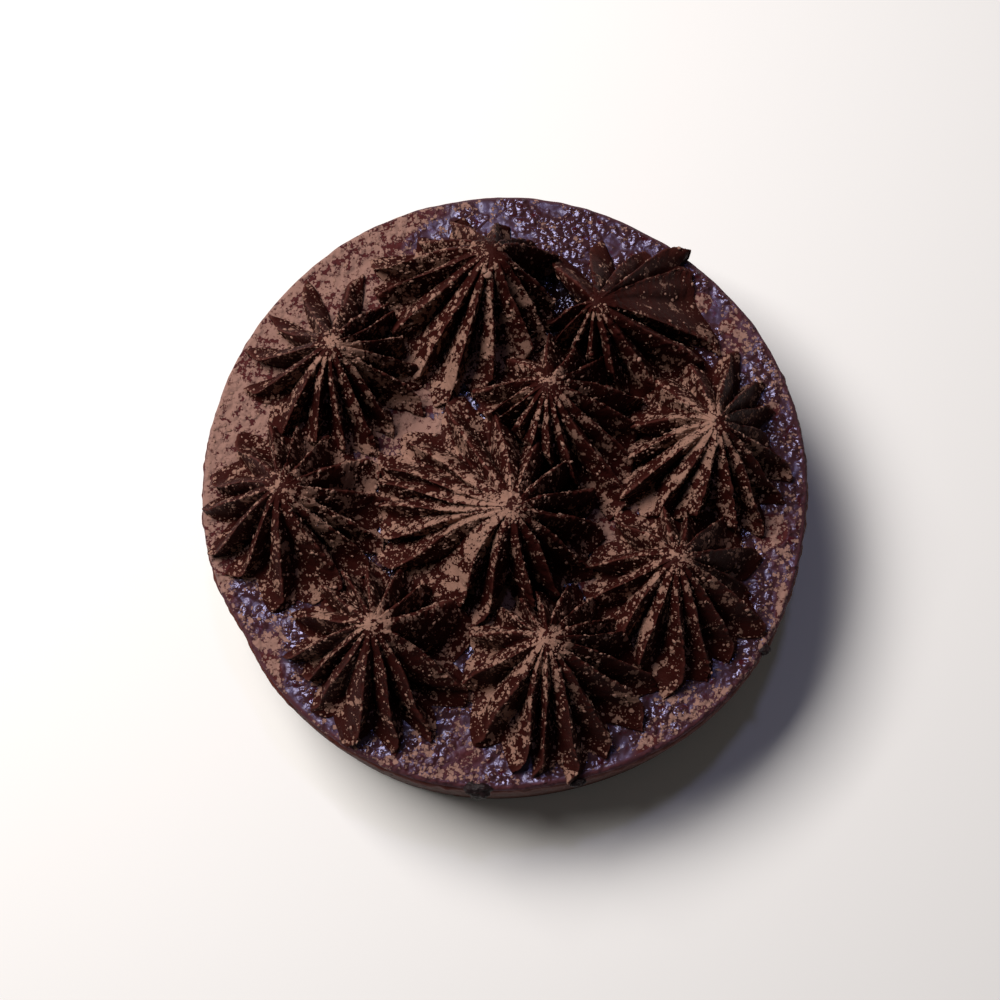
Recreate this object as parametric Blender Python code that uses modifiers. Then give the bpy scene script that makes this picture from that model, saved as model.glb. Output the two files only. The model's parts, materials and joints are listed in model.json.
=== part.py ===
import math

import bmesh
import bpy
import numpy as np
from mathutils import Vector

MM = 0.001
GAP = 0.3 * MM  # free space left between touching pieces
HALF_GAP = GAP / 2

# cake body, lying on z = 0 with its middle on the origin
CAKE_RADIUS = 77.4 * MM
CAKE_HEIGHT = 38.0 * MM
CAKE_SEGMENTS = 96
TOP_SHOULDER = 2.6 * MM
FOOT_ROUNDING = 1.2 * MM
SHOULDER_STEPS = 3
# the baked edge is not a true circle: waves round the rim, amplitude and direction of a crest
OUTLINE_WAVES = ((3, 0.15 * MM, 345), (5, 0.25 * MM, 30), (6, 0.20 * MM, 15))
# a chip missing from the rim: angle, half width in degrees and depth
RIM_CHIP = (209.0, 7.0, 1.3 * MM)

# chocolate layer poured over the top, ending just inside the shoulder
GLAZE_THICKNESS = 1.7 * MM
GLAZE_INSET = 2.1 * MM
GLAZE_EDGE_WAVE = 0.35 * MM
GLAZE_EDGE_WAVES = 11
GLAZE_ROUNDING = 0.9 * MM
GLAZE_FLOOR = CAKE_HEIGHT + GAP
GLAZE_TOP = GLAZE_FLOOR + GLAZE_THICKNESS

STAR_FLOOR = GLAZE_TOP + GAP
# the piping's centre line at the foot stands this share of the way from the middle of the foot to the peak
CENTRE_LINE_SHARE = 0.5
# silhouette of a piped star from foot to peak: share of the radius, share of the height
STAR_PROFILE = (
    (1.00, 0.000),
    (0.95, 0.080),
    (0.87, 0.190),
    (0.76, 0.330),
    (0.63, 0.500),
    (0.475, 0.670),
    (0.32, 0.820),
    (0.17, 0.940),
    (0.06, 0.990),
)
# how far the grooves cut in at each of those levels, as a share of the radius there
GROOVE_DEPTH = (0.15, 0.29, 0.41, 0.47, 0.48, 0.43, 0.32, 0.16, 0.04)
# every fin leans over: the steep side after its crest takes this share of the way to the next crest
STEEP_SHARE = 0.24
# halfway down a fin's side this share of the groove's depth is left out
MIDWAY_DEPTH = 0.47
# fins differ: spread of their lengths and of the depths of the grooves between them, and range at the foot
FIN_LENGTH_SPREAD = 0.06
GROOVE_SPREAD = 0.16
FOOT_GROOVES = (1.0, 1.9)
FOOT_GROOVE_LEVELS = (0.05, 0.30)
FIN_SEED = 41
# towards a neighbour the fins run further, by this share, up to the wall where the two meet
NEIGHBOUR_SPREAD = 0.14
NEIGHBOUR_TURN = (0.4, 0.85)
INSIDE_RIM = 1.2 * MM

# piped stars, in millimetres and degrees: name, middle of the foot, foot radius, peak, height and the direction of
# every fin's crest from the foot of the centre line
STARS = (
    ("piped_star_01", (-44.5, 30.8), 22.5, (-42.3, 29.5), 23,
     (15, 35, 55, 82, 117, 147, 178, 205, 233, 256, 275, 298, 317, 338, 357)),
    ("piped_star_02", (-10.2, 46.7), 23.0, (-3.5, 52.4), 26,
     (26, 50, 77, 112, 140, 167, 188, 212, 237, 256, 277, 305, 326, 344)),
    ("piped_star_03", (33.6, 43.0), 22.0, (22.1, 39.8), 24,
     (39, 51, 74, 103, 133, 180, 204, 229, 254, 280, 306, 335, 350)),
    ("piped_star_04", (51.0, 9.4), 22.8, (51.0, 10.2), 23,
     (8, 35, 54, 78, 104, 138, 166, 190, 214, 238, 262, 287, 306, 326, 343)),
    ("piped_star_05", (43.8, -29.3), 22.8, (41.0, -22.6), 23,
     (22, 54, 77, 103, 133, 168, 197, 224, 248, 272, 291, 313, 338, 356)),
    ("piped_star_06", (12.9, -50.6), 23.4, (9.8, -42.2), 25,
     (15, 34, 57, 79, 99, 118, 138, 160, 196, 231, 252, 268, 289, 308, 335, 354)),
    ("piped_star_07", (-31.8, -44.6), 22.9, (-31.4, -38.8), 24,
     (24, 48, 73, 97, 114, 136, 165, 186, 207, 230, 261, 285, 306, 338)),
    ("piped_star_08", (-53.4, -8.7), 22.9, (-53.9, -5.5), 22,
     (7, 34, 61, 84, 104, 128, 162, 185, 212, 238, 266, 302, 325, 341)),
    ("piped_star_09", (-3.5, -7.2), 27.6, (1.6, -11.4), 27,
     (20, 44, 69, 93, 119, 143, 158, 169, 179, 188, 200, 236, 256, 286, 308, 331, 355)),
    ("piped_star_10", (14.1, 14.4), 22.6, (10.4, 19.7), 24,
     (10, 38, 65, 95, 130, 165, 187, 203, 228, 250, 269, 286, 307, 327, 350)),
)
# fins pulled out further or cut short: star, direction, extra length, lift of the tip and half width in degrees
LONG_FINS = (
    ("piped_star_01", 147, -1.6 * MM, 0.0, 10),
    ("piped_star_01", 342, 2.0 * MM, 0.0, 12),
    ("piped_star_02", 26, 2.6 * MM, 1.5 * MM, 9),
    ("piped_star_02", 250, 3.0 * MM, 0.0, 13),
    ("piped_star_03", 51, 1.8 * MM, 4.5 * MM, 8),
    ("piped_star_03", 36, -3.6 * MM, 1.0 * MM, 9),
    ("piped_star_03", 15, -5.0 * MM, 0.0, 15),
    ("piped_star_03", 74, -2.5 * MM, 0.0, 10),
    ("piped_star_03", 133, 3.2 * MM, 2.0 * MM, 9),
    ("piped_star_04", 12, -6.0 * MM, 0.0, 16),
    ("piped_star_04", 35, -1.5 * MM, 0.0, 10),
    ("piped_star_04", 262, 3.0 * MM, 0.0, 14),
    ("piped_star_04", 287, 2.0 * MM, 0.0, 12),
    ("piped_star_04", 212, 3.5 * MM, 0.0, 14),
    ("piped_star_05", 354, -5.5 * MM, 0.0, 9),
    ("piped_star_05", 313, -4.0 * MM, 0.0, 10),
    ("piped_star_05", 291, -1.5 * MM, 0.0, 9),
    ("piped_star_05", 138, 2.0 * MM, 0.0, 16),
    ("piped_star_07", 24, 3.0 * MM, 0.0, 14),
    ("piped_star_07", 207, -3.5 * MM, 0.0, 12),
    ("piped_star_07", 230, -1.5 * MM, 0.0, 10),
    ("piped_star_10", 298, 4.0 * MM, 0.0, 20),
)
# grooves cut deeper or hardly at all: star, crest before the groove, factor
ODD_GROOVES = (
    ("piped_star_02", 344, 1.4),
    ("piped_star_03", 335, 1.35),
    ("piped_star_03", 350, 0.35),
    ("piped_star_03", 39, 0.55),
    ("piped_star_03", 74, 1.25),
    ("piped_star_03", 103, 1.2),
    ("piped_star_03", 133, 1.4),
    ("piped_star_09", 143, 0.8),
    ("piped_star_09", 158, 0.6),
    ("piped_star_09", 169, 0.55),
    ("piped_star_09", 179, 0.55),
    ("piped_star_09", 188, 0.5),
    ("piped_star_09", 200, 0.7),
)
# grooves that lie nearer the next crest: star, crest before the groove, share of the way
MOVED_GROOVES = (
    ("piped_star_02", 344, 0.55),
    ("piped_star_03", 335, 0.70),
    ("piped_star_03", 350, 0.60),
    ("piped_star_03", 133, 0.45),
    ("piped_star_09", 256, 0.50),
)
# low fins: star, crest and how much is missing halfway up
LOW_FINS = (
    ("piped_star_01", 82, 0.12),
    ("piped_star_01", 117, 0.20),
    ("piped_star_01", 147, 0.24),
    ("piped_star_01", 178, 0.20),
    ("piped_star_01", 205, 0.10),
)
# crests after which the toes stand apart, and how many times deeper the groove is at the foot there
OPEN_TOES = {
    "piped_star_01": (55, 82, 117, 147, 178),
    "piped_star_02": (344,),
    "piped_star_03": (74, 103, 133),
    "piped_star_09": (256,),
}
OPEN_TOE_DEPTH = 4.5
# no groove cuts further in than this share of the radius
DEEPEST_CUT = 0.72

CAKE_BROWN = (0.052, 0.023, 0.017, 1.0)
GLAZE_BROWN = (0.040, 0.018, 0.017, 1.0)
CREAM_BROWN = (0.037, 0.013, 0.011, 1.0)


def clearScene():
    for obj in list(bpy.data.objects):
        bpy.data.objects.remove(obj)


def makeMaterial(name, colour, roughness):
    material = bpy.data.materials.new(name)
    material.use_nodes = True
    shader = material.node_tree.nodes["Principled BSDF"]
    shader.inputs["Base Color"].default_value = colour
    shader.inputs["Roughness"].default_value = roughness
    shader.inputs["Metallic"].default_value = 0.0
    return material


def addPiece(bm, name, material, collection):
    mesh = bpy.data.meshes.new(name)
    bm.normal_update()
    bm.to_mesh(mesh)
    bm.free()
    mesh.materials.append(material)
    piece = bpy.data.objects.new(name, mesh)
    collection.objects.link(piece)
    return piece


def angleBetween(a, b):
    return (a - b + 180.0) % 360.0 - 180.0


def rimRadius(degrees):
    radius = CAKE_RADIUS
    for count, amplitude, crest in OUTLINE_WAVES:
        radius += amplitude * math.cos(count * math.radians(degrees - crest))
    where, halfWidth, depth = RIM_CHIP
    return radius - depth * math.exp(-((angleBetween(degrees, where) / halfWidth) ** 2))


def rimMiddle():
    # middle of the box around the uneven rim, so that the cake can be centred
    angles = [360.0 * i / CAKE_SEGMENTS for i in range(CAKE_SEGMENTS)]
    xs = [rimRadius(a) * math.cos(math.radians(a)) for a in angles]
    ys = [rimRadius(a) * math.sin(math.radians(a)) for a in angles]
    return Vector(((min(xs) + max(xs)) / 2, (min(ys) + max(ys)) / 2, 0.0))


def roundDisc(floor, height, inset, edgeWave):
    # an upright disc that follows the rim of the cake at an even distance inside it
    bm = bmesh.new()
    bmesh.ops.create_cone(
        bm, cap_ends=True, segments=CAKE_SEGMENTS, radius1=CAKE_RADIUS, radius2=CAKE_RADIUS, depth=height
    )
    middle = rimMiddle()
    for vert in bm.verts:
        degrees = math.degrees(math.atan2(vert.co.y, vert.co.x))
        wave = edgeWave * math.sin(GLAZE_EDGE_WAVES * math.radians(degrees))
        radius = rimRadius(degrees) - inset + wave
        direction = Vector((math.cos(math.radians(degrees)), math.sin(math.radians(degrees)), 0.0))
        vert.co = direction * radius - middle + Vector((0.0, 0.0, vert.co.z + floor + height / 2))
    return bm


def roundRim(piece, level, width, steps):
    # rounds the edge of a disc that lies at one level
    mesh = piece.data
    weights = mesh.attributes.new("rim_at_%d" % round(level / MM * 10), "FLOAT", "EDGE")
    for edge in mesh.edges:
        onRim = all(abs(mesh.vertices[v].co.z - level) < 0.01 * MM for v in edge.vertices)
        weights.data[edge.index].value = 1.0 if onRim else 0.0
    bevel = piece.modifiers.new("Bevel", "BEVEL")
    bevel.limit_method = "WEIGHT"
    bevel.edge_weight = weights.name
    bevel.width = width
    bevel.segments = steps


def makeCake(material, collection):
    cake = addPiece(roundDisc(0.0, CAKE_HEIGHT, 0.0, 0.0), "cheesecake", material, collection)
    roundRim(cake, CAKE_HEIGHT, TOP_SHOULDER, SHOULDER_STEPS)
    roundRim(cake, 0.0, FOOT_ROUNDING, 1)
    return cake


def makeGlaze(material, collection):
    disc = roundDisc(GLAZE_FLOOR, GLAZE_THICKNESS, GLAZE_INSET, GLAZE_EDGE_WAVE)
    glaze = addPiece(disc, "chocolate_glaze", material, collection)
    roundRim(glaze, GLAZE_TOP, GLAZE_ROUNDING, 2)
    return glaze


def walls(star):
    # upright planes where this star meets its neighbours: a point on each and its outward direction
    name, foot, radius = star[:3]
    here = Vector(foot) * MM
    found = []
    for other in STARS:
        there = Vector(other[1]) * MM
        apart = (there - here).length
        if other[0] == name or apart > (radius + other[2]) * MM * 1.15:
            continue
        outward = (there - here) / apart
        share = (apart**2 + (radius * MM) ** 2 - (other[2] * MM) ** 2) / (2 * apart)
        found.append((here + outward * (share - HALF_GAP), outward))
    return found


def reachTo(start, direction, middle, radius):
    # how far it is from a point along a direction to a circle round it
    offset = start - middle
    along = offset.dot(direction)
    return -along + math.sqrt(along**2 - offset.length_squared + radius**2)


def smoothStep(value, low, high):
    share = max(0.0, min(1.0, (value - low) / (high - low)))
    return share * share * (3 - 2 * share)


def ownValues(star, table, usual):
    # one value for each crest of a star: the usual one or what the table says
    values = [usual] * len(star[5])
    for owner, crest, value in table:
        if owner == star[0]:
            values[star[5].index(crest)] = value
    return values


def finColumns(star, number):
    # columns round a star: direction in degrees, share of the groove depth there, length factor, depth factor
    # of the groove, the same factor at the foot, and how much is missing halfway up
    name, crests = star[0], star[5]
    count = len(crests)
    draws = np.random.default_rng(FIN_SEED + number)
    lengths = 1 + draws.uniform(-1, 1, count) * FIN_LENGTH_SPREAD
    depths = 1 + draws.uniform(-1, 1, count) * GROOVE_SPREAD
    atFoot = draws.uniform(*FOOT_GROOVES, count)
    for crest in OPEN_TOES.get(name, ()):
        atFoot[crests.index(crest)] = OPEN_TOE_DEPTH
    depths = depths * ownValues(star, ODD_GROOVES, 1.0)
    shares = ownValues(star, MOVED_GROOVES, STEEP_SHARE)
    sags = ownValues(star, LOW_FINS, 0.0)
    gaps = [(crests[(i + 1) % count] - crests[i]) % 360 for i in range(count)]
    columns = []
    for i in range(count):
        before = (i - 1) % count
        broad = gaps[before] * (1 - shares[before])
        steep = gaps[i] * shares[i]
        between = (lengths[before] + lengths[i]) / 2
        sagBetween = (sags[before] + sags[i]) / 2
        columns.append((crests[i] - broad, 1.0, between, depths[before], atFoot[before], sagBetween))
        halfway = crests[i] - broad / 2
        columns.append((halfway, MIDWAY_DEPTH, lengths[i], depths[before], atFoot[before], sags[i]))
        columns.append((crests[i], 0.0, lengths[i], depths[i], atFoot[i], sags[i]))
        columns.append((crests[i] + steep / 2, MIDWAY_DEPTH, lengths[i], depths[i], atFoot[i], sags[i]))
    return columns


def makeStar(star, number, material, collection):
    name, foot, radius, peak, height = star[:5]
    foot = Vector(foot) * MM
    peak = Vector(peak) * MM
    radius = radius * MM
    height = height * MM
    columns = finColumns(star, number)
    base = foot.lerp(peak, CENTRE_LINE_SHARE)
    rings = len(STAR_PROFILE)
    bm = bmesh.new()
    bmesh.ops.create_uvsphere(bm, u_segments=len(columns), v_segments=rings + 1, radius=1.0)
    barriers = walls(star)
    for vert in bm.verts:
        ring = round((1.0 - math.acos(max(-1.0, min(1.0, vert.co.z))) / math.pi) * (rings + 1)) - 1
        if ring < 0:
            vert.co = (base.x, base.y, STAR_FLOOR)
            continue
        if ring == rings:
            vert.co = (peak.x, peak.y, STAR_FLOOR + height)
            continue
        turn = math.degrees(math.atan2(vert.co.y, vert.co.x)) % 360.0
        column = columns[round(turn / 360.0 * len(columns)) % len(columns)]
        angle, groove, length, depth, atFoot, sag = column
        across, up = STAR_PROFILE[ring]
        direction = Vector((math.cos(math.radians(angle)), math.sin(math.radians(angle))))
        centre = foot.lerp(peak, CENTRE_LINE_SHARE + (1 - CENTRE_LINE_SHARE) * up)
        reach = reachTo(base, direction, foot, radius) * across * length * (1 - sag * math.sin(math.pi * up))
        lift = 0.0
        for owner, where, extra, raised, halfWidth in LONG_FINS:
            if owner == name:
                pull = math.exp(-((angleBetween(angle, where) / halfWidth) ** 2))
                reach += extra * pull * across
                lift += raised * pull * across**3 * (1 - up)
        turnedTo = max(outward.dot(direction) for point, outward in barriers)
        reach *= 1 + NEIGHBOUR_SPREAD * smoothStep(turnedTo, *NEIGHBOUR_TURN)
        reach = min(reach, reachTo(centre, direction, Vector((0.0, 0.0)), CAKE_RADIUS - INSIDE_RIM))
        opened = 1 + (atFoot - 1) * (1 - smoothStep(up, *FOOT_GROOVE_LEVELS))
        reach *= 1.0 - groove * min(GROOVE_DEPTH[ring] * depth * opened, DEEPEST_CUT)
        for point, outward in barriers:
            facing = outward.dot(direction)
            room = outward.dot(point - centre)
            if facing > 0 and reach * facing > room:
                reach = room / facing
        spot = centre + direction * reach
        vert.co = (spot.x, spot.y, STAR_FLOOR + height * up + lift)
    return addPiece(bm, name, material, collection)


def shadeRound(piece, sharpFrom):
    piece.data.shade_smooth()
    piece.data.set_sharp_from_angle(angle=math.radians(sharpFrom))


def buildCake():
    clearScene()
    collection = bpy.data.collections.new("chocolate_cheesecake")
    bpy.context.scene.collection.children.link(collection)
    cakeMaterial = makeMaterial("baked_chocolate_cake", CAKE_BROWN, 0.75)
    glazeMaterial = makeMaterial("chocolate_glaze", GLAZE_BROWN, 0.32)
    creamMaterial = makeMaterial("piped_chocolate_cream", CREAM_BROWN, 0.55)
    shadeRound(makeCake(cakeMaterial, collection), 40)
    shadeRound(makeGlaze(glazeMaterial, collection), 40)
    for number, star in enumerate(STARS):
        shadeRound(makeStar(star, number, creamMaterial, collection), 60)


buildCake()
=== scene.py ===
import json
import math

import bpy
import numpy as np
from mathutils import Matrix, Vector

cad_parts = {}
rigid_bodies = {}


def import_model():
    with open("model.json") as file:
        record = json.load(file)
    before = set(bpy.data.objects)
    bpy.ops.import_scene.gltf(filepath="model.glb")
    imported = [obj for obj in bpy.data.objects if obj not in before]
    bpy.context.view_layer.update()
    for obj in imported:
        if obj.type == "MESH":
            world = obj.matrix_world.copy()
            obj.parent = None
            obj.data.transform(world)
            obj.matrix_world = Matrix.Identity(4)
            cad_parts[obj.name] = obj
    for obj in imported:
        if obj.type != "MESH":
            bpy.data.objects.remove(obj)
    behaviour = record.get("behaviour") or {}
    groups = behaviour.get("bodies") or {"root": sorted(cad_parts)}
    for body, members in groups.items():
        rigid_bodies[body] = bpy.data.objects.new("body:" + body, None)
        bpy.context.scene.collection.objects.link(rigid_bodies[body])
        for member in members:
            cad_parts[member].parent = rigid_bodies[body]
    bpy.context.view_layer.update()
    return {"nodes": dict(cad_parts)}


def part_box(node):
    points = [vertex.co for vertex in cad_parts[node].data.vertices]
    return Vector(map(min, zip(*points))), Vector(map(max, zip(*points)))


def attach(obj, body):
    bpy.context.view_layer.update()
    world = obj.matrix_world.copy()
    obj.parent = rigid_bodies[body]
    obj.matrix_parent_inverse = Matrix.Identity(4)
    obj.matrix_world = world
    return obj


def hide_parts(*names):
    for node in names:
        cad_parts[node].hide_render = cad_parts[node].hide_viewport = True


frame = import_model()
mm = 0.001
print("frame loaded:", len(frame["nodes"]), "nodes")

# cake body: an upright disc on the floor, its baked rim slightly out of round
cake = {
    "radius": 77.4 * mm,
    "shoulder": 2.6 * mm,
    "footRounding": 1.2 * mm,
    # count, amplitude and the direction of a crest
    "rimWaves": ((3, 0.15 * mm, 345), (5, 0.25 * mm, 30), (6, 0.20 * mm, 15)),
    "rimChip": (209.0, 7.0, 1.3 * mm),  # direction, half width, depth
    "columns": 720,
    "solidRim": 96,  # points round the solid's rim
    "sideRows": 62,
    "bendRows": 9,
    "bottomInsets": (60 * mm, 40 * mm, 20 * mm, 8 * mm, 3 * mm),
    "topInsets": (3.5 * mm, 5 * mm, 8 * mm, 20 * mm, 50 * mm),
    "smoothFoot": (0.3 * mm, 2 * mm),  # above the floor: where roughness starts and where it is full
    "smoothTop": 3 * mm,  # further in than this the top is smooth
    "poreSize": 1.3 * mm,
    "poreDepth": 0.45 * mm,
    "poreRange": (0.28, 0.56),  # noise at which a pore starts and at which it is at its deepest
    "poreField": (8 * mm, -0.5, 0.4),  # size of the fields with many pores, and the noise that bounds them
    "ringMarks": (1.4 * mm, 0.12, 0.10 * mm),  # width, how much the noise is squeezed upright, depth
    "swell": (22 * mm, 0.12 * mm),  # size and depth
    "crumble": (2.4 * mm, 0.35, 0.42 * mm),  # as for ringMarks
    "crumbleRange": (0.8, 1.3),  # its middle value and how far the noise takes it from there
    "crumblyBand": (10 * mm, 5 * mm),  # below the top: where it starts and where it is full
    "brownBand": (9 * mm, 3 * mm),
    "dustedBand": (1.6 * mm, 0.3 * mm),
    "rimDust": (1.05, -0.35),  # the glaze's amount of cocoa times the first plus the second
}

# chocolate layer: poured over the top, its edge wandering just inside the shoulder
glaze = {
    "inset": 1.0 * mm,
    "edgeWander": 0.35 * mm,
    "wander": (75 * mm, 7 * mm),  # the radius at which the edge's noise is read, and its size
    "sunk": 0.25 * mm,
    "lipWidth": 1.7 * mm,
    "lipRows": 12,
    "underInsets": (8 * mm, 3 * mm),
    "onTop": 10,  # the row from which grains can lie on it
    "columns": 760,
    "outerRings": 84,
    "innerRings": 34,
    "innerRadius": 36.0 * mm,
    "beadHeight": 0.34 * mm,
    "beadSize": 1.9 * mm,
    "swellHeight": 0.30 * mm,
    "swellSize": 9.0 * mm,
    "settledBand": (0.2 * mm, 2.2 * mm),  # inside the edge: where unevenness starts and where it is full
    "thinBand": (0.3 * mm, 1.6 * mm),
    "middle": (40 * mm, 56 * mm),  # radii where the cocoa between the stars gives way to that round the rim
    # painted shade: radii between which the near-black painted shade on the glaze between the stars fades
    # out
    "paintedShadeMiddle": (40 * mm, 50 * mm),
    "hole": (13.0, 50.5, 9.0),  # the deep, bare gap between two stars, its glaze painted near-black as painted shade: place and radius in millimetres
}

# Piped stars in millimetres and degrees: the middle of the foot, its radius and the peak as in the solids,
# and the direction of every fin's crest. "cocoa" is how much settled there and "hub" how much more at the
# peak. "longFins" gives the direction, extra length, lift and half width of fins pulled out further,
# "grooves" the depth of the groove after a crest beside the usual 1 and "valleys" how much of the way to
# the next crest it lies. "openToes" are the crests after which the glaze shows between two toes. "lowFins"
# says by how much a fin sags halfway up and "sways" by how many degrees it bows sideways. "dusted" gives
# the place, radius and amount of patches with more cocoa, and "paintedLitFins" the direction, half width and
# share of fins painted paler all over, as painted light where the thin flaps are lit
pipedStars = {
    "piped_star_01": {
        "foot": (-44.5, 30.8), "radius": 22.5, "peak": (-42.3, 29.5), "cocoa": 0.60,
        "crests": (15, 35, 55, 82, 117, 147, 178, 205, 233, 256, 275, 298, 317, 338, 357),
        "openToes": (55, 82, 117, 147, 178),
        "lowFins": {82: 0.12, 117: 0.20, 147: 0.24, 178: 0.20, 205: 0.10},
        "longFins": ((147, -1.6, 0, 10), (342, 2.0, 0, 12)),
        "dusted": ((-37.5, 28.5, 2.6, 0.5), (-35.5, 24.8, 2.2, 0.4)),
    },
    "piped_star_02": {
        "foot": (-10.2, 46.7), "radius": 23.0, "peak": (-3.5, 52.4), "cocoa": 0.68,
        "crests": (26, 50, 77, 112, 140, 167, 188, 212, 237, 256, 277, 305, 326, 344),
        "longFins": ((26, 2.6, 1.5, 9), (250, 3.0, 0, 13)),
        "grooves": {344: 1.4},
        "valleys": {344: 0.55},
        "openToes": (344,),
        "hub": -0.16,
        "dusted": ((-28.9, 44.9, 2.2, 0.6), (-28.5, 33.5, 2.4, 0.5), (-23.0, 28.8, 2.6, 0.5),
                   (-14.0, 24.5, 2.8, 0.4), (-17.0, 18.0, 2.2, 0.4), (-8.5, 22.0, 1.6, 0.4)),
    },
    "piped_star_03": {
        "foot": (33.6, 43.0), "radius": 22.0, "peak": (22.1, 39.8), "cocoa": 0.38,
        "crests": (39, 51, 74, 103, 133, 180, 204, 229, 254, 280, 306, 335, 350),
        "longFins": ((51, 1.8, 4.5, 8), (36, -3.6, 1.0, 9), (15, -5.0, 0, 15), (74, -2.5, 0, 10),
                     (133, 3.2, 2.0, 9)),
        "grooves": {335: 1.35, 350: 0.35, 39: 0.55, 74: 1.25, 103: 1.2, 133: 1.4},
        "valleys": {335: 0.70, 350: 0.60, 133: 0.45},
        "openToes": (74, 103, 133),
        "hub": -0.12,
        "paintedLitFins": ((18, 24, 0.35), (50, 14, 0.50), (78, 12, 0.40), (104, 12, 0.35), (134, 10, 0.30)),
        "dusted": ((42.8, 43.8, 1.9, 0.60), (50.4, 38.4, 2.4, 0.60), (53.9, 34.5, 2.2, 0.60),
                   (33.8, 38.3, 1.8, 0.40), (18.3, 36.2, 3.4, 0.25)),
    },
    "piped_star_04": {
        "foot": (51.0, 9.4), "radius": 22.8, "peak": (51.0, 10.2), "cocoa": 0.60,
        "crests": (8, 35, 54, 78, 104, 138, 166, 190, 214, 238, 262, 287, 306, 326, 343),
        "longFins": ((12, -6.0, 0, 16), (35, -1.5, 0, 10), (262, 3.0, 0, 14), (287, 2.0, 0, 12),
                     (212, 3.5, 0, 14)),
        "paintedLitFins": ((12, 14, 0.45), (350, 10, 0.30)),
        "dusted": ((46.5, 8.5, 4.2, 0.35), (36.2, -4.3, 2.3, 0.5), (31.0, 10.0, 2.4, 0.5),
                   (60.5, 7.0, 3.6, 0.25)),
    },
    "piped_star_05": {
        "foot": (43.8, -29.3), "radius": 22.8, "peak": (41.0, -22.6), "cocoa": 0.52,
        "crests": (22, 54, 77, 103, 133, 168, 197, 224, 248, 272, 291, 313, 338, 356),
        "longFins": ((354, -5.5, 0, 9), (313, -4.0, 0, 10), (291, -1.5, 0, 9), (138, 2.0, 0, 16)),
        "dusted": ((33.4, -37.5, 2.0, 0.5), (55.5, -16.5, 3.4, 0.35), (48.0, -27.5, 3.5, 0.2)),
    },
    "piped_star_06": {
        "foot": (12.9, -50.6), "radius": 23.4, "peak": (9.8, -42.2), "cocoa": 0.62,
        "crests": (15, 34, 57, 79, 99, 118, 138, 160, 196, 231, 252, 268, 289, 308, 335, 354),
        "dusted": ((-8.4, -40.9, 2.2, 0.45), (-3.8, -53.2, 1.9, 0.5), (0.3, -59.8, 1.9, 0.5),
                   (26.9, -64.0, 2.4, 0.5), (30.8, -55.3, 2.6, 0.35)),
    },
    "piped_star_07": {
        "foot": (-31.8, -44.6), "radius": 22.9, "peak": (-31.4, -38.8), "cocoa": 0.56,
        "crests": (24, 48, 73, 97, 114, 136, 165, 186, 207, 230, 261, 285, 306, 338),
        "longFins": ((24, 3.0, 0, 14), (207, -3.5, 0, 12), (230, -1.5, 0, 10)),
        "dusted": ((-45.6, -34.4, 2.0, 0.5), (-47.4, -43.5, 2.2, 0.4), (-46.9, -52.0, 2.4, 0.4)),
    },
    "piped_star_08": {
        "foot": (-53.4, -8.7), "radius": 22.9, "peak": (-53.9, -5.5), "cocoa": 0.60,
        "crests": (7, 34, 61, 84, 104, 128, 162, 185, 212, 238, 266, 302, 325, 341),
        "dusted": ((-49.3, 8.0, 2.6, 0.5), (-38.6, 1.6, 2.4, 0.5), (-44.5, -12.3, 3.0, 0.4),
                   (-48.0, -8.5, 3.0, 0.3)),
    },
    "piped_star_09": {
        "foot": (-3.5, -7.2), "radius": 27.6, "peak": (1.6, -11.4), "cocoa": 0.60,
        "crests": (20, 44, 69, 93, 119, 143, 158, 169, 179, 188, 200, 236, 256, 286, 308, 331, 355),
        "valleys": {256: 0.5},
        "sways": {236: 8.0, 200: 4.0, 188: 2.0, 179: -4.0, 169: -4.0, 158: -3.0},
        "openToes": (256,),
        "grooves": {143: 0.8, 158: 0.6, 169: 0.55, 179: 0.55, 188: 0.5, 200: 0.7},
        "dusted": ((-6, -14.0, 5.5, 0.30), (-13, -13.5, 4.0, 0.30), (-20, -13.5, 3.5, 0.28),
                   (-6, -20.0, 3.0, 0.25), (-10.5, -24.5, 4.0, 0.36), (-14, 3.0, 4.0, 0.22)),
    },
    "piped_star_10": {
        "foot": (14.1, 14.4), "radius": 22.6, "peak": (10.4, 19.7), "cocoa": 0.54,
        "crests": (10, 38, 65, 95, 130, 165, 187, 203, 228, 250, 269, 286, 307, 327, 350),
        "longFins": ((298, 4.0, 0, 20),),
    },
}

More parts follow.
